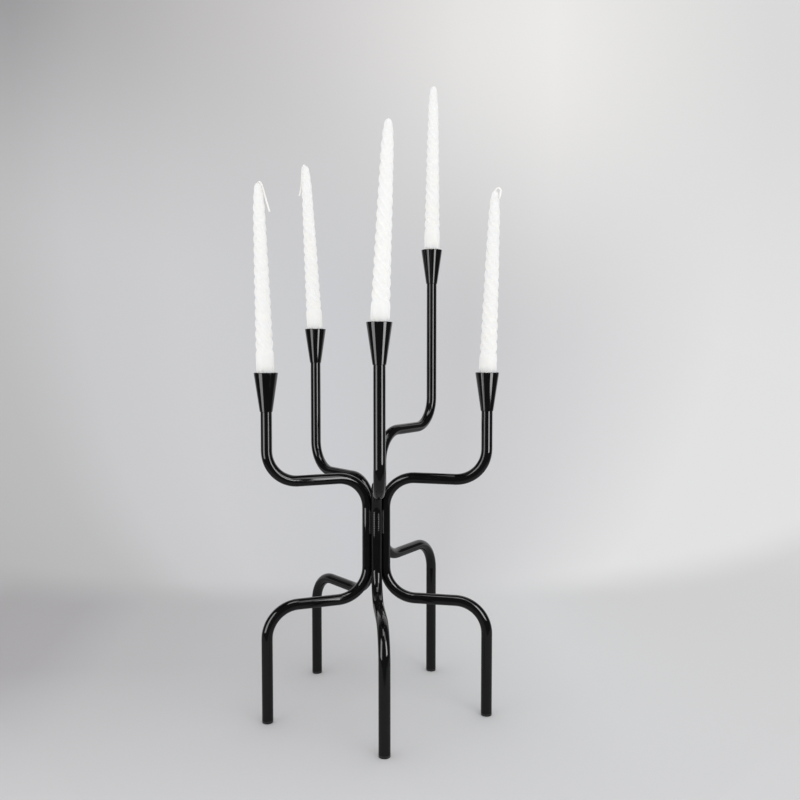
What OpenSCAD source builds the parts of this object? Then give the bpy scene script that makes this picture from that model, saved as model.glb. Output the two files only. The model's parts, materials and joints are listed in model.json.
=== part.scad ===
// Five-armed tabletop candelabra. Five bent round tubes are welded side by side into one trunk.
// Each tube is a leg below and an arm above, and carries a turned cup with a twisted candle.
// Millimetres. The origin is on the tabletop under the trunk's axis, with +Z up and the front
// tube along -Y.

/* [Tube stock] */
// Outer diameter of the steel tube
tube_d = 12; // [10:0.5:14]
// Wall thickness of the tube
tube_wall = 1; // [0.8:0.1:1.5]
// Bend radius at the tube's centreline
bend_r = 34.5; // [28:0.5:38]
// Gap between neighbouring trunk tubes
trunk_gap = 0.05; // [0.02:0.01:0.2]

/* [Stand] */
// Distance from a tube's centreline in the trunk out to its leg and up to its cup
reach = 114.8; // [100:0.2:140]
// Height of the lower level run on the four low legs
low_knee_h = 126; // [100:1:160]
// Height of the tall leg's level run over the low ones
tall_knee_step = 40; // [30:1:60]
// Length of the upright stretch in which all five tubes run side by side
trunk_h = 22; // [12:1:60]
// Height of the upper level run to the low cups over that to the middle cups
low_elbow_step = 4.5; // [0:0.5:20]
// Height of the upper level run to the tall cup over that to the middle cups
tall_elbow_step = 53.5; // [30:0.5:80]
// Length of the upright tube between the bend and the low cups
low_arm_h = 41; // [20:1:80]
// Length of the upright tube between the bend and the middle cups
mid_arm_h = 96; // [70:1:120]
// Length of the upright tube between the bend and the tall cup
tall_arm_h = 139.5; // [100:0.5:180]

/* [Foot plugs] */
// Height of the plug's flange under the leg
flange_h = 3; // [2:0.5:5]
// Rounding of the flange's lower edge
flange_edge = 0.6; // [0.3:0.1:1]
// Chamfer of the flange's upper edge
flange_chamfer = 0.25; // [0.1:0.05:0.5]
// Length of the plug's stem in the tube
stem_h = 10; // [6:1:20]
// Radial clearance of a stem or spigot in the tube's bore
stem_gap = 0.05; // [0.02:0.01:0.1]

/* [Candle cups] */
// Outer diameter of the cup at its rim
rim_d = 25.5; // [24:0.5:28]
// Step by which the cup's foot stands out over the tube
foot_step = 0.7; // [0.4:0.1:1.5]
// Height of the cup
cup_h = 41.5; // [36:0.5:50]
// Wall thickness at the rim
rim_wall = 1.1; // [0.8:0.1:1.6]
// Wall thickness at the bottom of the tapered hole
hole_wall = 1.6; // [1.2:0.1:2]
// Thickness of the solid metal under the tapered hole
cup_floor = 5; // [3:0.5:8]
// Rounding of the cup's lower edge
cup_edge = 0.6; // [0.3:0.1:1]
// Length of the spigot in the tube
spigot_h = 8; // [5:1:15]

/* [Candles] */
// Diameter of the candle's plain butt
candle_d = 18.8; // [18:0.2:20]
// Length of the plain butt
butt_h = 33; // [26:1:40]
// Chamfer of the butt's lower edge
butt_edge = 1; // [0.5:0.1:1.5]
// Overall length of the candle
candle_len = 211; // [190:1:230]
// Height of the rounded tip
tip_h = 12; // [8:1:20]
// Diameter over the ridges just under the tip
tip_d = 11.6; // [10:0.2:14]
// Depth of the flanks between the twisted ridges, where 1 makes them flat
groove = 1.15; // [0.3:0.05:1.6]
// Height in which a ridge goes once round
lead = 66; // [50:1:90]
// Gap between the butt and the wall of the cup
seat_gap = 0.3; // [0.2:0.05:0.5]

/* [Wicks] */
// Diameter of the waxed wick
wick_d = 2; // [1.2:0.1:2.4]
// Length of wick set in the tip of the candle
wick_root = 3; // [2:0.5:6]
// Radius in which a wick folds over
wick_bend_r = 2.6; // [2:0.1:4]

/* [Weld beads] */
// Radius of the bead
bead_r = 2.2; // [1.8:0.1:2.6]
// Distance of the bead's centreline from the line where the two tubes meet
bead_out = 3.2; // [2.8:0.1:3.6]
// Length of the bead beyond the shared straight stretch, at each end
bead_over = 2; // [0:0.5:3]
// Spacing of the bead's ripples
ripple = 2; // [1.5:0.1:3]
// Height of the bead's ripples
ripple_h = 0.35; // [0.2:0.05:0.5]

/* [Hidden] */
$fn = 64;
eps = 0.01;
// The sides in order round the trunk, from the left tube past the front one
SIDES = ["left", "front", "right", "back_right", "back_left"];
arms = len(SIDES);
last = arms - 1;

black = "#141414";
wax = "#f4f3ee";
pitch_angle = 360 / arms;

// The stretch that all five tubes share, from the tall leg's bend to the lowest elbow's bend
trunk_z0 = low_knee_h + tall_knee_step + bend_r;
trunk_z1 = trunk_z0 + trunk_h;

// Heights of each tube's lower and upper level runs, and of its top end under the cup
knee_h = [for (step = [0, 0, 0, tall_knee_step, 0]) low_knee_h + step];
elbow_h = [for (step = [low_elbow_step, 0, low_elbow_step, tall_elbow_step, 0]) trunk_z1 + bend_r + step];
arm_h = [low_arm_h, mid_arm_h, low_arm_h, tall_arm_h, mid_arm_h];
top_h = elbow_h + [for (h = arm_h) bend_r + h];

// Angle of each tube round the trunk, from -Y towards +X
tube_angle = [for (i = [0:last]) (i - 1) * pitch_angle];
// Small turns of the legs and arms out of their planes, left by bending and welding by hand.
// They go up to two and a half degrees, as arc cosines of short decimals, which keeps the faces
// on both sides of a turn in exact register.
leg_twist = [-acos(0.9999), acos(0.9998), acos(0.9996), 0, -acos(0.9991)];
arm_twist = [acos(0.9997), -acos(0.9998), -acos(0.9995), 0, -acos(0.9991)];

bore_d = tube_d - 2 * tube_wall;
stem_r = bore_d / 2 - stem_gap;
// The trunk tubes stand in a ring, each one against its neighbours
trunk_r = (tube_d + trunk_gap) / 2 / sin(pitch_angle / 2);

// ---------- frames ----------

// The trunk's part of tube i, with +X outwards, turned by twist about the tube's own axis
module at_trunk(i, twist) {
  rotate([0, 0, tube_angle[i] - 90]) translate([trunk_r, 0, 0]) rotate([0, 0, twist]) children();
}

// The top end of tube i
module at_arm(i) {
  at_trunk(i, arm_twist[i]) translate([reach, 0, top_h[i]]) children();
}

// ---------- tubes ----------

// Straight tube along +Z, from z0 to z1
module straight_tube(z0, z1) {
  translate([0, 0, z0]) difference() {
    cylinder(d = tube_d, h = z1 - z0);
    translate([0, 0, -eps]) cylinder(d = bore_d, h = z1 - z0 + 2 * eps);
  }
}

// Level tube along +X, from x0 to x1 at height z
module level_tube(x0, x1, z) {
  translate([0, 0, z]) rotate([0, 90, 0]) straight_tube(x0, x1);
}

// Quarter bend round the Y axis, from +X up to +Z
module quarter_bend() {
  rotate([90, 0, 0]) rotate_extrude(angle = 90) translate([bend_r, 0]) difference() {
    circle(d = tube_d);
    circle(d = bore_d);
  }
}

// From the foot up over the knee and in to the trunk
module leg(knee) {
  translate([reach, 0, 0]) straight_tube(flange_h, knee - bend_r);
  translate([reach - bend_r, 0, knee - bend_r]) quarter_bend();
  level_tube(bend_r, reach - bend_r, knee);
  translate([bend_r, 0, knee + bend_r]) rotate([0, 180, 0]) quarter_bend();
}

// From the trunk out, round the elbow and up to the cup
module arm(elbow, top) {
  translate([bend_r, 0, elbow - bend_r]) rotate([0, 0, 180]) quarter_bend();
  level_tube(bend_r, reach - bend_r, elbow);
  translate([reach - bend_r, 0, elbow + bend_r]) rotate([180, 0, 0]) quarter_bend();
  translate([reach, 0, 0]) straight_tube(elbow + bend_r, top);
}

module tube(i) {
  color(black) union() {
    at_trunk(i, leg_twist[i]) leg(knee_h[i]);
    at_trunk(i, 0) straight_tube(knee_h[i] + bend_r, elbow_h[i] - bend_r);
    at_trunk(i, arm_twist[i]) arm(elbow_h[i], top_h[i]);
  }
}

// ---------- foot plugs ----------

module plug(i) {
  flange_r = tube_d / 2;
  color(black) at_trunk(i, leg_twist[i]) translate([reach, 0, 0]) rotate_extrude() polygon(concat(
    [[0, 0]],
    [for (a = [-90:15:0]) [flange_r - flange_edge * (1 - cos(a)), flange_edge * (1 + sin(a))]],
    [[flange_r, flange_h - flange_chamfer], [flange_r - flange_chamfer, flange_h]],
    [[stem_r, flange_h], [stem_r, flange_h + stem_h], [0, flange_h + stem_h]]
  ));
}

// ---------- candle cups ----------

rim_r = rim_d / 2;
foot_r = tube_d / 2 + foot_step;
cup_slope = (rim_r - foot_r) / cup_h;
hole_foot_r = foot_r + cup_slope * cup_floor - hole_wall;
hole_slope = (rim_r - rim_wall - hole_foot_r) / (cup_h - cup_floor);
lip_r = rim_wall / 2;

// A turned cone with a spigot below and a tapered hole for the candle above
module cup(i) {
  color(black) at_arm(i) rotate_extrude() polygon(concat(
    [[0, -spigot_h], [stem_r, -spigot_h], [stem_r, 0]],
    [for (a = [-90:15:0])
      [foot_r + cup_slope * cup_edge - cup_edge * (1 - cos(a)), cup_edge * (1 + sin(a))]],
    [for (a = [0:20:180]) [rim_r - lip_r + lip_r * cos(a), cup_h - lip_r + lip_r * sin(a)]],
    [[hole_foot_r, cup_floor], [0, cup_floor]]
  ));
}

// ---------- weld beads ----------

bead_z0 = trunk_z0 - bead_over;
bead_len = trunk_h + 2 * bead_over;
ripples = floor(bead_len / ripple);
ripple_steps = 4;

// A rippled rod in the valley between tube i and the next one, fitted to both tubes
module weld(i) {
  n = ripples * ripple_steps;
  valley_r = trunk_r * cos(pitch_angle / 2) + bead_out;
  color(black) translate([0, 0, bead_z0]) difference() {
    rotate([0, 0, tube_angle[i] + pitch_angle / 2 - 90]) translate([valley_r, 0, 0])
      rotate_extrude() polygon(concat(
        [[0, 0]],
        [for (k = [0:n]) [bead_r - ripple_h * abs(cos(180 * k / ripple_steps)), k * bead_len / n]],
        [[0, bead_len]]
      ));
    for (j = [i, i + 1]) rotate([0, 0, tube_angle[0] + j * pitch_angle - 90])
      translate([trunk_r, 0, -1]) cylinder(d = tube_d, h = bead_len + 2);
  }
}

// ---------- candles ----------

// Height above the cup's foot at which a butt wedges in the tapered hole
wedge_h = cup_floor + (candle_d / 2 + seat_gap - hole_foot_r) / hole_slope;
// Height over which each butt's lower end is pared. The front and right candles go in deeper.
pare_h = [for (more = [0, 4.8, 5, 0, 0]) butt_edge + more];

// Direction in which each candle leans, from -Y towards +X, and its angle from upright
lean_angle = [-90, 90, 90, 90, -90];
lean = [1.8, 2.5, 2.1, 0.5, 3];

ridges = 6;
ridge_angle = 360 / ridges;
ring_points = 4 * ridges;
ring_gap = lead / 20;
// Height in which the ridges rise out of the plain butt
swell_h = 4;

module at_candle(i) {
  at_arm(i) rotate([0, 0, lean_angle[i] - tube_angle[i] - arm_twist[i]])
    translate([0, 0, wedge_h]) rotate([0, lean[i], 0]) translate([0, 0, -pare_h[i]]) children();
}

// One ring of the candle: radius r over the ridges, flanks of depth g, turned by a
function candle_ring(z, r, g, a) = [
  for (j = [0:ring_points - 1])
    let (b = j * 360 / ring_points,
         flat = cos(ridge_angle / 2) / cos(b % ridge_angle - ridge_angle / 2),
         q = r * (1 - g * (1 - flat)))
      [q * cos(b + a), q * sin(b + a), z]
];

twist_top = candle_len - tip_h;
twist_steps = round((twist_top - butt_h) / ring_gap);
function twist_z(k) = butt_h + (twist_top - butt_h) * k / twist_steps;
function twist_r(z) = candle_d / 2 + (tip_d - candle_d) / 2 * (z - butt_h) / (twist_top - butt_h);
// The ridges climb to the left
function twist_a(z) = -360 * (z - butt_h) / lead;

function candle_rings(pare) = concat(
  [candle_ring(0, candle_d / 2 - butt_edge, 0, 0), candle_ring(pare, candle_d / 2, 0, 0)],
  [for (k = [0:twist_steps]) let (z = twist_z(k))
    candle_ring(z, twist_r(z), groove * min(1, (z - butt_h) / swell_h), twist_a(z))],
  [for (t = [18:18:72]) let (z = twist_top + tip_h * sin(t))
    candle_ring(z, tip_d / 2 * cos(t), groove * cos(t), twist_a(z))]
);

module candle(i) {
  all_rings = candle_rings(pare_h[i]);
  n = ring_points;
  rings = len(all_rings);
  color(wax) at_candle(i) polyhedron(
    points = concat([for (ring = all_rings) each ring], [[0, 0, candle_len]]),
    faces = concat(
      [[for (j = [0:n - 1]) j]],
      [for (k = [0:rings - 2], j = [0:n - 1])
        [k * n + j, (k + 1) * n + j, (k + 1) * n + (j + 1) % n]],
      [for (k = [0:rings - 2], j = [0:n - 1])
        [k * n + j, (k + 1) * n + (j + 1) % n, k * n + (j + 1) % n]],
      [for (j = [0:n - 1]) [(rings - 1) * n + j, rings * n, (rings - 1) * n + (j + 1) % n]]
    )
  );
}

// ---------- wicks ----------

// For each wick: the direction in which it falls, from -Y towards +X
wick_angle = [90, 180, 65, 180, -119];
// its height over the tip of the candle where it starts to fold
wick_rise = [-2, -2.5, 0.3, -2.5, -2];
// the angle through which it folds
wick_fold = [171, 172, 178, 172, 171];
// the radius of the fold
fold_r = [for (more = [0, 0, 0.7, 0, 0]) wick_bend_r + more];
// and the length that hangs beyond the fold
wick_hang = [28, 9, 9, 7, 34];

wick_sides = 8;
fold_steps = 9;
hang_steps = 4;

module at_tip(i) {
  at_candle(i) translate([0, 0, candle_len]) rotate([0, 0, wick_angle[i] - lean_angle[i]]) children();
}

// Points of a wick's centreline in its own plane, each as [x, z, angle from upright]
function wick_path(rise, fold, r, hang) = concat(
  [[0, rise - wick_root, 0]],
  [for (k = [0:fold_steps]) let (a = fold * k / fold_steps)
    [r * (1 - cos(a)), rise + r * sin(a), a]],
  [for (k = [1:hang_steps]) let (s = hang * k / hang_steps)
    [r * (1 - cos(fold)) + s * sin(fold), rise + r * sin(fold) + s * cos(fold), fold]]
);

function wick_ring(p) = [
  for (j = [0:wick_sides - 1])
    let (a = j * 360 / wick_sides, u = wick_d / 2 * cos(a), v = wick_d / 2 * sin(a))
      [p[0] + u * cos(p[2]), v, p[1] - u * sin(p[2])]
];

module wick(i) {
  path = wick_path(wick_rise[i], wick_fold[i], fold_r[i], wick_hang[i]);
  n = wick_sides;
  rings = len(path);
  color(wax) at_tip(i) polyhedron(
    points = [for (p = path) each wick_ring(p)],
    faces = concat(
      [[for (j = [0:n - 1]) j]],
      [for (k = [0:rings - 2], j = [0:n - 1])
        [k * n + j, (k + 1) * n + j, (k + 1) * n + (j + 1) % n, k * n + (j + 1) % n]],
      [[for (j = [n - 1:-1:0]) (rings - 1) * n + j]]
    )
  );
}

// ---------- the assembly ----------

for (i = [0:last]) {
  tube(i);
  cup(i);
  plug(i);
  weld(i);
  candle(i);
  wick(i);
}
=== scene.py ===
import json
import math

import bpy
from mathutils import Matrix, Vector


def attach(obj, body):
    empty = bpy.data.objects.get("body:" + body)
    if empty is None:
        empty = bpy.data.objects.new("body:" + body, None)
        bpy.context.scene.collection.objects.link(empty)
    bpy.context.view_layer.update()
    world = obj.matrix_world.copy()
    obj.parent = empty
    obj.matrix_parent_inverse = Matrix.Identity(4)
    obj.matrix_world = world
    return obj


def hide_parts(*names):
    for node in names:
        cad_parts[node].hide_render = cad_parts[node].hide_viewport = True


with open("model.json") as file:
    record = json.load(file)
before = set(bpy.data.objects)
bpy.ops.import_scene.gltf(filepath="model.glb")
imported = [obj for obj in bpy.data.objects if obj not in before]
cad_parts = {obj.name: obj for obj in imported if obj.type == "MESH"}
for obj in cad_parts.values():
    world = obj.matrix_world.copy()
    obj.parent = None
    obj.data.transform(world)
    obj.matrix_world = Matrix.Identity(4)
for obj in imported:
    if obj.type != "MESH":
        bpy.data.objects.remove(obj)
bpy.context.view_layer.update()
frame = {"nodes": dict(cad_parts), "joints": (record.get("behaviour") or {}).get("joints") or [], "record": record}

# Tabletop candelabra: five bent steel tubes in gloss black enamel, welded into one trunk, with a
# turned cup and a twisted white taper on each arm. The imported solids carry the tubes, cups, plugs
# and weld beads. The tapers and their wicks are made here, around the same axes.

MM = 0.001
SIDES = ["left", "front", "right", "back_right", "back_left"]
UP = Vector((0, 0, 1))
FULL_TURN = 2 * math.pi


# ---------- colours and nodes ----------

def srgb(code):
    """Turns an sRGB hex colour such as #c8c8ca into the linear, opaque colour that a shader takes."""
    levels = [int(code[i:i + 2], 16) / 255 for i in (1, 3, 5)]
    return [v / 12.92 if v <= 0.04045 else ((v + 0.055) / 1.055) ** 2.4 for v in levels] + [1.0]


def add(tree, kind, settings=(), links=()):
    """Adds one node. A setting or a link goes by the name or number of a socket, or by the name of a
    property. A Mix of colours has its factor at 0, the two colours at 6 and 7, and its result at 2."""
    node = tree.nodes.new("ShaderNode" + kind)
    for key, value in dict(settings).items():
        if isinstance(key, int) or key in node.inputs:
            node.inputs[key].default_value = value
        else:
            setattr(node, key, value)
    for key, source in dict(links).items():
        tree.links.new(source, node.inputs[key])
    return node


def new_material(name, shader):
    """A material with one Principled shader. The shader's own constants are set here."""
    made = bpy.data.materials.new(name)
    made.use_nodes = True
    tree = made.node_tree
    tree.nodes.clear()
    finish = add(tree, "BsdfPrincipled", shader)
    add(tree, "OutputMaterial", links={"Surface": finish.outputs["BSDF"]})
    place = add(tree, "TexCoord").outputs["Object"]
    return made, tree, finish, place


# ---------- finishes ----------

# A wave texture of scale 1 has its ripples this far apart
RIPPLE = 0.314
# The welding marked the front tube around this height, in metres: fully as far as the first distance
# above and below it, and not at all beyond the second
WELD_MARK_HEIGHT, WELD_MARK_FULL, WELD_MARK_END = 0.211, 0.007, 0.016


def gloss_enamel(name, weld_mark=False):
    """Gloss stoved enamel on steel tube. The eye sees a wet black skin with crisp lamp lines, a trace of
    orange peel in them, thin smudges and a few dust nibs under the skin. With a weld mark, the skin also
    lies over fine ripples where the welding drew the tube, and breaks the lamp lines up into dots."""
    made, tree, finish, place = new_material(name, {"Metallic": 0.0, "IOR": 1.5})
    # Depth of the black: clouds 14 mm across
    cloud = add(tree, "TexNoise", {"Scale": 1 / (14 * MM), "Detail": 3.0}, {"Vector": place})
    black = add(tree, "Mix", {"data_type": "RGBA", 6: srgb("#080809"), 7: srgb("#0f0f10")},
                {0: cloud.outputs["Fac"]})
    # Smudges from handling: patches 22 mm across, a little duller than the clean enamel
    smudge = add(tree, "TexNoise", {"Scale": 1 / (22 * MM), "Detail": 4.0, "Roughness": 0.6},
                 {"Vector": place})
    dulled = add(tree, "MapRange", {"From Min": 0.35, "From Max": 0.75, "To Min": 0.04, "To Max": 0.1},
                 {"Value": smudge.outputs["Fac"]})
    # Orange peel: real waves are about 1.5 mm long, drawn at 6 mm so that they show
    peel = add(tree, "TexNoise", {"Scale": 1 / (6 * MM), "Detail": 0.0}, {"Vector": place})
    skin = add(tree, "Bump", {"Distance": 0.008 * MM}, {"Height": peel.outputs["Fac"]})
    # Dust nibs: one every 7 mm or so, half a millimetre across
    speck = add(tree, "TexVoronoi", {"Scale": 1 / (7 * MM)}, {"Vector": place})
    nib = add(tree, "MapRange", {"From Min": 0.0, "From Max": 0.04, "To Min": 1.0, "To Max": 0.0},
              {"Value": speck.outputs["Distance"]})
    skin = add(tree, "Bump", {"Distance": 0.004 * MM},
               {"Height": nib.outputs["Result"], "Normal": skin.outputs["Normal"]})
    if weld_mark:
        # Ripples 2 mm apart, 0.08 mm high
        axes = add(tree, "SeparateXYZ", links={"Vector": place})
        off_middle = add(tree, "Math", {"operation": "SUBTRACT", 1: WELD_MARK_HEIGHT}, {0: axes.outputs["Z"]})
        distance = add(tree, "Math", {"operation": "ABSOLUTE"}, {0: off_middle.outputs["Value"]})
        fade = add(tree, "MapRange", {"From Min": WELD_MARK_END, "From Max": WELD_MARK_FULL},
                   {"Value": distance.outputs["Value"]})
        ripple = add(tree, "TexWave", {"bands_direction": "Z", "Scale": RIPPLE / (2 * MM), "Distortion": 1.0,
                                       "Detail": 1.0}, {"Vector": place})
        mark = add(tree, "Math", {"operation": "MULTIPLY"},
                   {0: ripple.outputs["Fac"], 1: fade.outputs["Result"]})
        skin = add(tree, "Bump", {"Distance": 0.08 * MM},
                   {"Height": mark.outputs["Value"], "Normal": skin.outputs["Normal"]})
    tree.links.new(black.outputs[2], finish.inputs["Base Color"])
    tree.links.new(dulled.outputs["Result"], finish.inputs["Roughness"])
    tree.links.new(skin.outputs["Normal"], finish.inputs["Normal"])
    return made


def weld_enamel():
    """The same enamel over a weld. The eye sees the bead's fine ripples, which break up its shine, and the
    dull scale and spatter between them."""
    made, tree, finish, place = new_material("gloss_black_enamel_on_weld", {"Metallic": 0.0, "IOR": 1.5})
    # Darker patches, and paler ones that are a little duller, 5 mm across
    cloud = add(tree, "TexNoise", {"Scale": 1 / (5 * MM), "Detail": 3.0}, {"Vector": place})
    black = add(tree, "Mix", {"data_type": "RGBA", 6: srgb("#070708"), 7: srgb("#111113")},
                {0: cloud.outputs["Fac"]})
    dulled = add(tree, "MapRange", {"From Min": 0.3, "From Max": 0.7, "To Min": 0.04, "To Max": 0.09},
                 {"Value": cloud.outputs["Fac"]})
    # Ripples of the weld, 2 mm apart up the trunk
    ripple = add(tree, "TexWave", {"bands_direction": "Z", "Scale": RIPPLE / (2 * MM), "Distortion": 0.6,
                                   "Detail": 1.0}, {"Vector": place})
    bead = add(tree, "Bump", {"Distance": 0.08 * MM}, {"Height": ripple.outputs["Fac"]})
    # Spatter and scale: grains 0.8 mm across
    scale = add(tree, "TexNoise", {"Scale": 1 / (0.8 * MM), "Detail": 2.0}, {"Vector": place})
    skin = add(tree, "Bump", {"Distance": 0.02 * MM},
               {"Height": scale.outputs["Fac"], "Normal": bead.outputs["Normal"]})
    tree.links.new(black.outputs[2], finish.inputs["Base Color"])
    tree.links.new(dulled.outputs["Result"], finish.inputs["Roughness"])
    tree.links.new(skin.outputs["Normal"], finish.inputs["Normal"])
    return made


def moulded_plastic():
    """Moulded polyethylene. The eye sees a satin black band with a fine even grain."""
    made, tree, finish, place = new_material("satin_black_plastic", {"IOR": 1.51})
    # Flow of the melt: darker patches, and paler ones that are a little duller, 4 mm across
    flow = add(tree, "TexNoise", {"Scale": 1 / (4 * MM), "Detail": 3.0}, {"Vector": place})
    black = add(tree, "Mix", {"data_type": "RGBA", 6: srgb("#0b0b0c"), 7: srgb("#131314")},
                {0: flow.outputs["Fac"]})
    satin = add(tree, "MapRange", {"From Min": 0.3, "From Max": 0.7, "To Min": 0.22, "To Max": 0.32},
                {"Value": flow.outputs["Fac"]})
    # Spark grain of the mould: 0.1 mm in the real plug, drawn at 0.8 mm so that it shows
    spark = add(tree, "TexNoise", {"Scale": 1 / (0.8 * MM)}, {"Vector": place})
    skin = add(tree, "Bump", {"Distance": 0.02 * MM}, {"Height": spark.outputs["Fac"]})
    tree.links.new(black.outputs[2], finish.inputs["Base Color"])
    tree.links.new(satin.outputs["Result"], finish.inputs["Roughness"])
    tree.links.new(skin.outputs["Normal"], finish.inputs["Normal"])
    return made


def candle_wax():
    """Paraffin wax, cast and twisted while warm. The eye sees a bright, slightly creamy white with light
    soaking through the ridges, faint cloudy patches and a skin that is neither dull nor wet."""
    made, tree, finish, place = new_material("white_candle_wax", {
        "IOR": 1.44, "Subsurface Weight": 1.0, "Subsurface Radius": (1.0, 0.96, 0.9),
        "Subsurface Scale": 12 * MM, "Specular IOR Level": 0.25})
    # Clouds in the wax, 9 mm across
    cloud = add(tree, "TexNoise", {"Scale": 1 / (9 * MM), "Detail": 3.0}, {"Vector": place})
    white = add(tree, "Mix", {"data_type": "RGBA", 6: srgb("#fbf7f0"), 7: srgb("#fffcf7")},
                {0: cloud.outputs["Fac"]})
    # Rubbed and cool patches of the skin, 5 mm across
    rubbed = add(tree, "TexNoise", {"Scale": 1 / (5 * MM), "Detail": 3.0}, {"Vector": place})
    satin = add(tree, "MapRange", {"From Min": 0.3, "From Max": 0.7, "To Min": 0.5, "To Max": 0.65},
                {"Value": rubbed.outputs["Fac"]})
    # Slow waves of 4 mm from the hand that twisted it, and pits of the cast skin, 0.9 mm across
    wave = add(tree, "TexNoise", {"Scale": 1 / (4 * MM), "Detail": 2.0}, {"Vector": place})
    waved = add(tree, "Bump", {"Distance": 0.05 * MM}, {"Height": wave.outputs["Fac"]})
    pit = add(tree, "TexNoise", {"Scale": 1 / (0.9 * MM), "Detail": 2.0}, {"Vector": place})
    skin = add(tree, "Bump", {"Distance": 0.015 * MM},
               {"Height": pit.outputs["Fac"], "Normal": waved.outputs["Normal"]})
    tree.links.new(white.outputs[2], finish.inputs["Base Color"])
    tree.links.new(satin.outputs["Result"], finish.inputs["Roughness"])
    tree.links.new(skin.outputs["Normal"], finish.inputs["Normal"])
    return made


def waxed_cotton():
    """Braided cotton dipped in wax. The eye sees an off-white cord, stiff and a little fuzzy."""
    made, tree, finish, place = new_material("waxed_cotton_wick", {
        "IOR": 1.45, "Sheen Weight": 0.3, "Subsurface Weight": 0.3, "Subsurface Radius": (1.0, 0.98, 0.95),
        "Subsurface Scale": 1 * MM})
    # Wax soaked in more in some places than others, 1.2 mm across
    soaked = add(tree, "TexNoise", {"Scale": 1 / (1.2 * MM), "Detail": 3.0}, {"Vector": place})
    white = add(tree, "Mix", {"data_type": "RGBA", 6: srgb("#f7f5f0"), 7: srgb("#fefdfa")},
                {0: soaked.outputs["Fac"]})
    dry = add(tree, "MapRange", {"To Min": 0.5, "To Max": 0.7}, {"Value": soaked.outputs["Fac"]})
    # Fibres: 0.02 mm in real cotton, drawn at 0.35 mm so that they show
    fibre = add(tree, "TexNoise", {"Scale": 1 / (0.35 * MM), "Detail": 2.0}, {"Vector": place})
    fuzz = add(tree, "Bump", {"Distance": 0.05 * MM}, {"Height": fibre.outputs["Fac"]})
    tree.links.new(white.outputs[2], finish.inputs["Base Color"])
    tree.links.new(dry.outputs["Result"], finish.inputs["Roughness"])
    tree.links.new(fuzz.outputs["Normal"], finish.inputs["Normal"])
    return made


# ---------- the stand ----------

def dress_stand(finishes):
    """Gives each tube, cup, weld bead and plug its finish, by its name or by the first word of its name."""
    for name, solid in frame["nodes"].items():
        finish = finishes.get(name, finishes.get(name.split("_")[0]))
        if finish:
            solid.data.materials.clear()
            solid.data.materials.append(finish)


# ---------- tapers ----------

# All lengths of the tapers and wicks are in millimetres.
# How far below the cup's rim a full butt wedges, and how much deeper each butt is pared to go
WEDGE_DEPTH = 12.227
PARED = {"left": 1.0, "front": 5.8, "right": 6.0, "back_right": 1.0, "back_left": 1.0}
TAPER_LENGTH = 211.0
# Radius over the ridges, as (height, radius) from the butt's lower edge up to the tip
TAPER_PROFILE = [(0, 8.5), (0.35, 9.1), (1, 9.4), (33, 9.4), (37, 9.28), (121, 7.75), (186, 6.2), (193, 5.6),
                 (197.5, 5.2), (202.5, 4.85), (205, 4.5), (207, 4.0), (209, 3.2), (210.3, 2.2), (211, 0.85)]
RIDGES = 6
RIDGE_LEAD = 66.0
# How far the flanks between the ridges fall in: at 1 they are flat, and above 1 they are hollow
GROOVE = 1.15
# Where the ridges begin, over what height they rise out of the butt, and over what height they fade
# out at the tip
TWIST_START, TWIST_RISE, TWIST_FADE = 33.0, 6.0, 9.0
# Heights of the rings: wide apart in the plain butt, close in the twist and closest at the tip
BUTT_RINGS = [0, 0.35, 1, 6, 12, 18, 24, 28, 31]
TWIST_RINGS = [TWIST_START + 1.1 * k for k in range(144)] + [191.5 + 1.0 * k for k in range(14)]
TIP_RINGS = [205.5, 206.5, 207.5, 208.5, 209.3, 210, 210.6, 211]
POINTS_PER_RIDGE = 16


def along(table, z):
    """Straight-line value of a table of (height, value) at z."""
    for (z0, v0), (z1, v1) in zip(table, table[1:]):
        if z <= z1:
            return v0 + (v1 - v0) * (z - z0) / (z1 - z0)
    return table[-1][1]


def ease(t):
    """Goes smoothly from 0 to 1 as t does, and stays there."""
    t = min(1.0, max(0.0, t))
    return t * t * (3 - 2 * t)


def flank(a):
    """How far a flat flank falls in between two ridges, as a share of the radius over them."""
    half = math.pi / RIDGES
    return 1 - math.cos(half) / math.cos(a % (2 * half) - half)


class Seat:
    """The frame of one taper: its foot on the cup's axis, the way it leans, and its own axes."""

    def __init__(self, side):
        self.body = side + "_candle"
        rim = next(m for m in frame["record"]["mounts"] if m["name"] == "candle_hole_" + side)["pos_m"]
        joint = next(j for j in frame["joints"] if j["child"] == self.body)
        self.axis = Vector(joint["axis"]).normalized()
        lean = Vector((self.axis.x, self.axis.y, 0)).normalized()
        self.across = UP.cross(lean)
        self.out = self.across.cross(self.axis)
        self.foot = Vector(rim) - UP * WEDGE_DEPTH * MM - self.axis * PARED[side] * MM

    def point(self, x, y, z):
        """A point of the taper, in millimetres from the centre of its butt."""
        return self.foot + (self.out * x + self.across * y + self.axis * z) * MM


def ring_mesh(name, rings, cap_start, cap_end):
    """A closed skin over rings of points, with a centre point at either end."""
    n = len(rings[0])
    points = [p for ring in rings for p in ring] + [cap_start, cap_end]
    faces = []
    for k in range(len(rings) - 1):
        for j in range(n):
            i = (j + 1) % n
            faces.append((k * n + j, k * n + i, (k + 1) * n + i, (k + 1) * n + j))
    start_centre = len(rings) * n
    end_centre = start_centre + 1
    last = start_centre - n
    faces += [((j + 1) % n, j, start_centre) for j in range(n)]
    faces += [(last + j, last + (j + 1) % n, end_centre) for j in range(n)]
    mesh = bpy.data.meshes.new(name)
    mesh.from_pydata([tuple(p) for p in points], [], faces)
    mesh.shade_smooth()
    piece = bpy.data.objects.new(name, mesh)
    bpy.context.scene.collection.objects.link(piece)
    return piece


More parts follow.
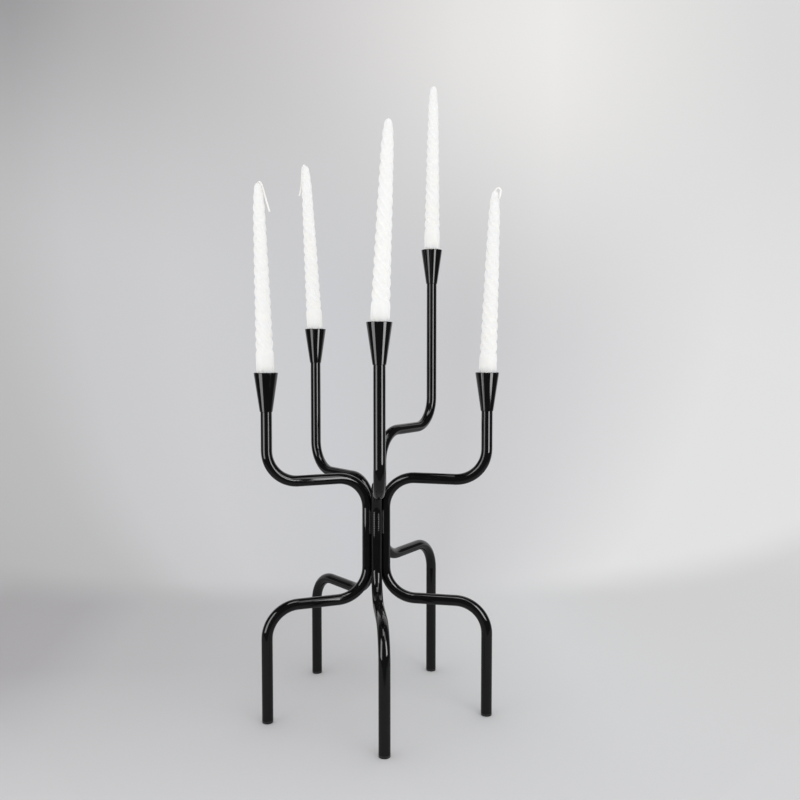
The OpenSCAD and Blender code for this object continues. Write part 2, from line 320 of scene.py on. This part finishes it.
def twisted_taper(side, number, wax):
    """A taper of six ridges with slightly hollow flanks, which climb to the left out of a plain butt."""
    seat = Seat(side)
    around = POINTS_PER_RIDGE * RIDGES
    rings = []
    for z in BUTT_RINGS + TWIST_RINGS + TIP_RINGS:
        depth = GROOVE * ease((z - TWIST_START) / TWIST_RISE) * ease((TAPER_LENGTH - z) / TWIST_FADE)
        turn = -FULL_TURN * max(0, z - TWIST_START) / RIDGE_LEAD
        ring = []
        for j in range(around):
            a = FULL_TURN * j / around
            # Each flank is a little deeper or shallower than the next, and changes along its length
            uneven = 0.08 * math.sin(a + 1.7 * number) + 0.05 * math.sin(z / 9 + 2 * a + number)
            r = along(TAPER_PROFILE, z) * (1 - depth * flank(a) * (1 + uneven))
            ring.append(seat.point(r * math.cos(a + turn), r * math.sin(a + turn), z))
        rings.append(ring)
    piece = ring_mesh("taper_" + side, rings, seat.point(0, 0, 0), seat.point(0, 0, TAPER_LENGTH))
    piece.data.materials.append(wax)
    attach(piece, seat.body)
    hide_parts("candle_" + side)


# ---------- wicks ----------

WICK_RADIUS = 1.0
BRAID_PITCH = 2.6
# Cords that run each way in the braid
CORDS = 3
# For each wick: the way it falls, in degrees from the front towards the right, and its centreline
# as (distance out, height over the tip)
WICKS = {
    "left": (90, [(0, -3), (0, -0.6), (0.7, 0.6), (2.1, 0.7), (3.5, -1.2), (4.6, -4.6), (6.4, -12),
                  (8.8, -21.5), (11.0, -30)]),
    "front": (180, [(0, -3), (0.1, -1.2), (1.0, -0.2), (2.7, -0.7), (4.3, -3), (5.3, -6.5), (6.0, -11.2)]),
    "right": (65, [(0, -3), (0.1, 0.2), (1.2, 2.2), (3.2, 3.1), (5.2, 2.2), (6.1, 0), (5.8, -3.4),
                   (4.9, -8.6)]),
    "back_right": (180, [(0, -3), (0.1, -1.2), (1.0, -0.2), (2.7, -0.7), (4.3, -3), (5.3, -6), (5.9, -9.2)]),
    "back_left": (-119, [(0, -3), (0, -0.6), (0.8, 0.5), (2.3, 0.5), (3.9, -1.6), (5.2, -6), (5.9, -13),
                         (6.9, -21), (8.8, -28.5), (11.0, -34.8)]),
}


def smooth_line(points, step):
    """Points about one step apart on a smooth line through the given ones."""
    line = []
    ends = [points[0]] + points + [points[-1]]
    for p0, p1, p2, p3 in zip(ends, ends[1:], ends[2:], ends[3:]):
        count = max(2, round(math.dist(p1, p2) / step))
        for k in range(count):
            t = k / count
            line.append([0.5 * (2 * b + (c - a) * t + (2 * a - 5 * b + 4 * c - d) * t * t
                                + (3 * b - a - 3 * c + d) * t ** 3) for a, b, c, d in zip(p0, p1, p2, p3)])
    return line + [list(points[-1])]


def braided_wick(side, cotton):
    """A wick of braided cotton: three cords wind to the left and three to the right, crossing."""
    seat = Seat(side)
    fall, points = WICKS[side]
    # The fall is given on the compass of the stand, so it is turned into the taper's own frame
    compass = Vector((math.sin(math.radians(fall)), -math.cos(math.radians(fall)), 0))
    away = math.atan2(compass.dot(seat.across), compass.dot(seat.out))
    line = smooth_line(points, 0.3)
    around = 12
    rings, run = [], 0.0
    for k, (x, z) in enumerate(line):
        before, after = line[max(0, k - 1)], line[min(len(line) - 1, k + 1)]
        run += math.dist(before, line[k])
        heading = math.atan2(after[0] - before[0], after[1] - before[1])
        turn = FULL_TURN * run / BRAID_PITCH
        ring = []
        for j in range(around):
            a = FULL_TURN * j / around
            cords = max(abs(math.cos((CORDS * a + turn) / 2)), abs(math.cos((CORDS * a - turn) / 2)))
            r = WICK_RADIUS * (0.8 + 0.2 * cords)
            u, v = r * math.cos(a), r * math.sin(a)
            s, h = x + u * math.cos(heading), z - u * math.sin(heading)
            ring.append(seat.point(s * math.cos(away) - v * math.sin(away),
                                   s * math.sin(away) + v * math.cos(away), TAPER_LENGTH + h))
        rings.append(ring)

    def middle(p):
        return seat.point(p[0] * math.cos(away), p[0] * math.sin(away), TAPER_LENGTH + p[1])

    piece = ring_mesh("braid_" + side, rings, middle(line[0]), middle(line[-1]))
    piece.data.materials.append(cotton)
    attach(piece, seat.body)
    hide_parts("wick_" + side)


# ---------- studio ----------

# The flat floor's radius and the radius of the bend into the wall, in metres
FLOOR_RADIUS, BEND_RADIUS = 0.5, 1.15


def bowl(name, inset, material):
    """A round floor that bends up into a wall all round the stand. The inset is how far inside the
    outermost sheet it lies."""
    profile = [(0.1 * k, 0.0) for k in range(1, 6)]
    for degrees in range(6, 91, 6):
        t = math.radians(degrees)
        profile.append((FLOOR_RADIUS + BEND_RADIUS * math.sin(t), BEND_RADIUS - BEND_RADIUS * math.cos(t)))
    profile += [(FLOOR_RADIUS + BEND_RADIUS, BEND_RADIUS + 0.25 * k) for k in range(1, 7)]
    around = 96
    points = []
    for r, z in profile:
        for j in range(around):
            a = FULL_TURN * j / around
            points.append(((r - inset) * math.cos(a), (r - inset) * math.sin(a), z + inset))
    centre = len(points)
    points.append((0, 0, inset))
    faces = []
    for k in range(len(profile) - 1):
        for j in range(around):
            i = (j + 1) % around
            faces.append((k * around + j, (k + 1) * around + j, (k + 1) * around + i, k * around + i))
    faces += [(centre, j, (j + 1) % around) for j in range(around)]
    mesh = bpy.data.meshes.new(name)
    mesh.from_pydata(points, [], faces)
    mesh.shade_smooth()
    sweep = bpy.data.objects.new(name, mesh)
    bpy.context.scene.collection.objects.link(sweep)
    sweep.data.materials.append(material)
    return sweep


# Grey of the paper with painted light and shade on it, from left to right, for the floor and for the lower and
# upper wall, as (share of the way, colour)
FLOOR_PAINTED_LIGHT_AND_SHADE = [(0.1, "#cccccd"), (0.22, "#b1afb1"), (0.28, "#b4b2b5"), (0.33, "#c1c0c2"), (0.38, "#c5c5c7"),
               (0.47, "#cdcdcf"), (0.57, "#d6d7d8"), (0.63, "#dcddde"), (0.71, "#dbdbdc")]
LOW_WALL_PAINTED_LIGHT_AND_SHADE = [(0.0, "#d1d1d3"), (0.09, "#bdbdbe"), (0.2, "#c7c7c8"), (0.26, "#d4d4d6"), (0.34, "#d9d9db"),
                  (0.48, "#d6d7da"), (0.61, "#d3d3d5"), (0.71, "#dedee0"), (0.82, "#eeeeef")]
HIGH_WALL_PAINTED_LIGHT_AND_SHADE = [(0.0, "#d3d2d2"), (0.1, "#979596"), (0.23, "#9a989a"), (0.28, "#b4b2b3"),
                   (0.36, "#c8c6c7"), (0.48, "#dddbdb"), (0.6, "#f2f1f0"), (0.68, "#f9f8f6"),
                   (0.83, "#e7e7e7")]
# Painted light: the paler tone of the floor in front of the stand
NEAR_FLOOR_PAINTED_LIGHT = "#dadadc"


def matt_paper():
    """Matt grey card, rolled in one piece. The eye sees a soft dull ground with no grain: a grey floor and a paler
    wall.
    Light and shade are painted into its colour: the tones change slowly from left to right and from the floor to
    the top, and the floor is painted paler in front of the stand."""
    made, tree, finish, place = new_material("matt_grey_paper", {"Roughness": 0.9, "Specular IOR Level": 0.2})
    axes = add(tree, "SeparateXYZ", links={"Vector": place})
    flat = add(tree, "CombineXYZ", links={"X": axes.outputs["X"], "Y": axes.outputs["Y"]})
    out = add(tree, "VectorMath", {"operation": "LENGTH"}, {0: flat.outputs["Vector"]})
    # The floor's painted light and shade run straight across, and the wall's go round with the compass
    across = add(tree, "MapRange", {"From Min": -1.0, "From Max": 1.0}, {"Value": axes.outputs["X"]})
    compass = add(tree, "Math", {"operation": "DIVIDE"}, {0: axes.outputs["X"], 1: out.outputs["Value"]})
    round_wall = add(tree, "MapRange", {"From Min": -1.0, "From Max": 1.0},
                     {"Value": compass.outputs["Value"]})
    tones = []
    # Each ramp paints light and shade into the grey of the paper
    for way, stops in ((across, FLOOR_PAINTED_LIGHT_AND_SHADE), (round_wall, LOW_WALL_PAINTED_LIGHT_AND_SHADE), (round_wall, HIGH_WALL_PAINTED_LIGHT_AND_SHADE)):
        tone = add(tree, "ValToRGB", links={"Fac": way.outputs["Result"]})
        first, last = tone.color_ramp.elements
        first.position, first.color = stops[0][0], srgb(stops[0][1])
        last.position, last.color = stops[-1][0], srgb(stops[-1][1])
        for position, code in stops[1:-1]:
            tone.color_ramp.elements.new(position).color = srgb(code)
        tones.append(tone.outputs["Color"])
    floor_painted_light_and_shade, low_wall_painted_light_and_shade, high_wall_painted_light_and_shade = tones
    # The wall begins well behind the stand, and a little further out on the other sides
    behind = add(tree, "MapRange", {"interpolation_type": "SMOOTHSTEP", "From Min": 0.38, "From Max": 0.55},
                 {"Value": axes.outputs["Y"]})
    outside = add(tree, "MapRange", {"interpolation_type": "SMOOTHSTEP", "From Min": 0.7, "From Max": 1.2},
                  {"Value": out.outputs["Value"]})
    on_wall = add(tree, "Math", {"operation": "MAXIMUM"},
                  {0: behind.outputs["Result"], 1: outside.outputs["Result"]})
    # The change from the lower to the upper painted light and shade slants down towards the right
    slant = add(tree, "Math", {"operation": "MULTIPLY_ADD", 1: 0.3},
                {0: compass.outputs["Value"], 2: axes.outputs["Z"]})
    high = add(tree, "MapRange", {"interpolation_type": "SMOOTHSTEP", "From Min": 0.48, "From Max": 1.45},
               {"Value": slant.outputs["Value"]})
    wall = add(tree, "Mix", {"data_type": "RGBA"},
               {0: high.outputs["Result"], 6: low_wall_painted_light_and_shade, 7: high_wall_painted_light_and_shade})
    # Painted light: the floor turns into one even, paler tone from the middle of the stand to the front
    near = add(tree, "MapRange", {"From Min": 0.14, "From Max": -0.2, "To Max": 0.7},
               {"Value": axes.outputs["Y"]})
    floor = add(tree, "Mix", {"data_type": "RGBA", 7: srgb(NEAR_FLOOR_PAINTED_LIGHT)},
                {0: near.outputs["Result"], 6: floor_painted_light_and_shade})
    shade = add(tree, "Mix", {"data_type": "RGBA"},
                {0: on_wall.outputs["Value"], 6: floor.outputs[2], 7: wall.outputs[2]})
    tree.links.new(shade.outputs[2], finish.inputs["Base Color"])
    return made


def dark_cloth():
    """Dark felt, with no shine. It hangs just inside the paper at the sides and in front of the stand, is
    open behind it and thin over the floor. It is there for the enamel alone, whose black would go grey
    if it mirrored paper all round."""
    made, tree, finish, place = new_material("dark_grey_cloth", {
        "Roughness": 1.0, "Specular IOR Level": 0.0, "Base Color": srgb("#444446")})
    axes = add(tree, "SeparateXYZ", links={"Vector": place})
    x, y = axes.outputs["X"], axes.outputs["Y"]
    # The opening widens from the front of the stand to the back
    slant = add(tree, "Math", {"operation": "MULTIPLY_ADD", 1: 0.58, 2: 0.55}, {0: y})
    level = add(tree, "Math", {"operation": "ADD", 1: 0.5}, {0: y})
    wide = add(tree, "Math", {"operation": "MINIMUM"}, {0: slant.outputs["Value"], 1: level.outputs["Value"]})
    side = add(tree, "Math", {"operation": "ABSOLUTE"}, {0: x})
    aside = add(tree, "Math", {"operation": "SUBTRACT"}, {0: side.outputs["Value"], 1: wide.outputs["Value"]})
    beside = add(tree, "MapRange", {"interpolation_type": "SMOOTHSTEP", "From Min": 0.0, "From Max": 0.35},
                 {"Value": aside.outputs["Value"]})
    # None of it comes near the stand at the sides
    length = add(tree, "VectorMath", {"operation": "LENGTH"}, {0: place})
    far = add(tree, "MapRange", {"interpolation_type": "SMOOTHSTEP", "From Min": 0.3, "From Max": 0.6},
              {"Value": length.outputs["Value"]})
    # In front of the stand it hangs right across
    front = add(tree, "MapRange", {"interpolation_type": "SMOOTHSTEP", "From Min": -0.235, "From Max": -0.34},
                {"Value": y})
    outer = add(tree, "Math", {"operation": "MULTIPLY"},
                {0: beside.outputs["Result"], 1: far.outputs["Result"]})
    # Over the rest of the floor the cloth is thin
    under = add(tree, "MapRange", {"From Min": 0.10, "From Max": 0.01, "To Max": 0.6},
                {"Value": axes.outputs["Z"]})
    hung = add(tree, "Math", {"operation": "MAXIMUM"},
               {0: outer.outputs["Value"], 1: front.outputs["Result"]})
    cover = add(tree, "Math", {"operation": "MAXIMUM"},
                {0: hung.outputs["Value"], 1: under.outputs["Result"]})
    tree.links.new(cover.outputs["Value"], finish.inputs["Alpha"])
    return made


def backdrop():
    """Paper and cloth, 3 mm apart. Neither takes the room's soft light from the stand or from the other, and
    the cloth is seen by shine alone."""
    paper = bowl("paper_sweep", 0.0, matt_paper())
    cloth = bowl("cloth_surround", 3 * MM, dark_cloth())
    for sheet in (paper, cloth):
        sheet.visible_diffuse = sheet.visible_shadow = sheet.visible_transmission = False
    cloth.visible_camera = False


def lamp(name, where, aim, width, height, radiance, lights):
    """A flat soft lamp. Its power follows from its size and its brightness, where 1 is white. It is kept to
    the shine of the enamel ("gloss") or to matt surfaces and wax ("matt")."""
    light = bpy.data.lights.new(name, "AREA")
    light.shape = "RECTANGLE"
    light.size, light.size_y = width, height
    light.energy = radiance * math.pi * width * height
    holder = bpy.data.objects.new(name, light)
    holder.location = where
    holder.rotation_euler = (Vector(aim) - Vector(where)).to_track_quat("-Z", "Y").to_euler()
    holder.visible_camera = False
    holder.visible_glossy = lights != "matt"
    holder.visible_diffuse = lights != "gloss"
    bpy.context.scene.collection.objects.link(holder)


# Where each of the two low lamps stands, the point that it is turned to, its width and its height
LEFT_STAND = (-0.55, -0.40, 0.375), (0, -0.02, 0.375), 0.33, 0.61
RIGHT_STAND = (0.42, -0.48, 0.43), (0.02, 0, 0.43), 0.25, 0.50


def studio():
    """The backdrop, the lamps and the room. The strips and the softbox draw the lines in the enamel. The
    white room lights the wax and the paper evenly from all sides, and the window gives that light a
    direction. The two weak fills give each foot its pair of soft shadows."""
    backdrop()
    lamp("left_strip", *LEFT_STAND, 4.8, "gloss")
    lamp("right_strip", *RIGHT_STAND, 8.2, "gloss")
    lamp("high_strip", (0.34, -0.42, 0.98), (-0.05, 0, 0.3), 0.26, 0.5, 2.6, "gloss")
    lamp("top_softbox", (0, -0.30, 1.35), (0, -0.02, 0.3), 0.5, 0.5, 4.0, "gloss")
    lamp("window", (0.4, -1.5, 2.2), (0, 0, 0.4), 1.4, 1.4, 1.4, "matt")
    lamp("left_fill", *LEFT_STAND, 1.6, "matt")
    lamp("right_fill", *RIGHT_STAND, 2.0, "matt")
    room = bpy.data.worlds.new("room")
    room.use_nodes = True
    walls = room.node_tree.nodes["Background"]
    walls.inputs["Color"].default_value = srgb("#ffffff")
    walls.inputs["Strength"].default_value = 0.8
    # The enamel mirrors the paper, the cloth and the lamps instead
    room.cycles_visibility.glossy = False
    bpy.context.scene.world = room


def camera():
    """A 38 mm lens a little above the middle of the stand, 0.94 m in front of it."""
    data = bpy.data.cameras.new("camera")
    data.sensor_width, data.lens = 36, 38.034
    data.clip_start, data.clip_end = 0.02, 50
    view = bpy.data.objects.new("camera", data)
    view.location = (-0.04263, -0.94086, 0.39696)
    yaw, pitch = math.radians(4.2269), math.radians(3.0363)
    view.rotation_euler = (math.pi / 2 - pitch, 0, -yaw)
    bpy.context.scene.collection.objects.link(view)
    bpy.context.scene.camera = view


# ---------- the scene ----------

enamel, wax, cotton = gloss_enamel("gloss_black_enamel"), candle_wax(), waxed_cotton()
dress_stand({"tube": enamel, "tube_front": gloss_enamel("gloss_black_enamel_weld_marked", weld_mark=True),
             "cup": enamel, "weld": weld_enamel(), "plug": moulded_plastic()})
for number, side in enumerate(SIDES):
    twisted_taper(side, number, wax)
    braided_wick(side, cotton)
studio()
camera()
bpy.context.scene.view_settings.view_transform = "Standard"
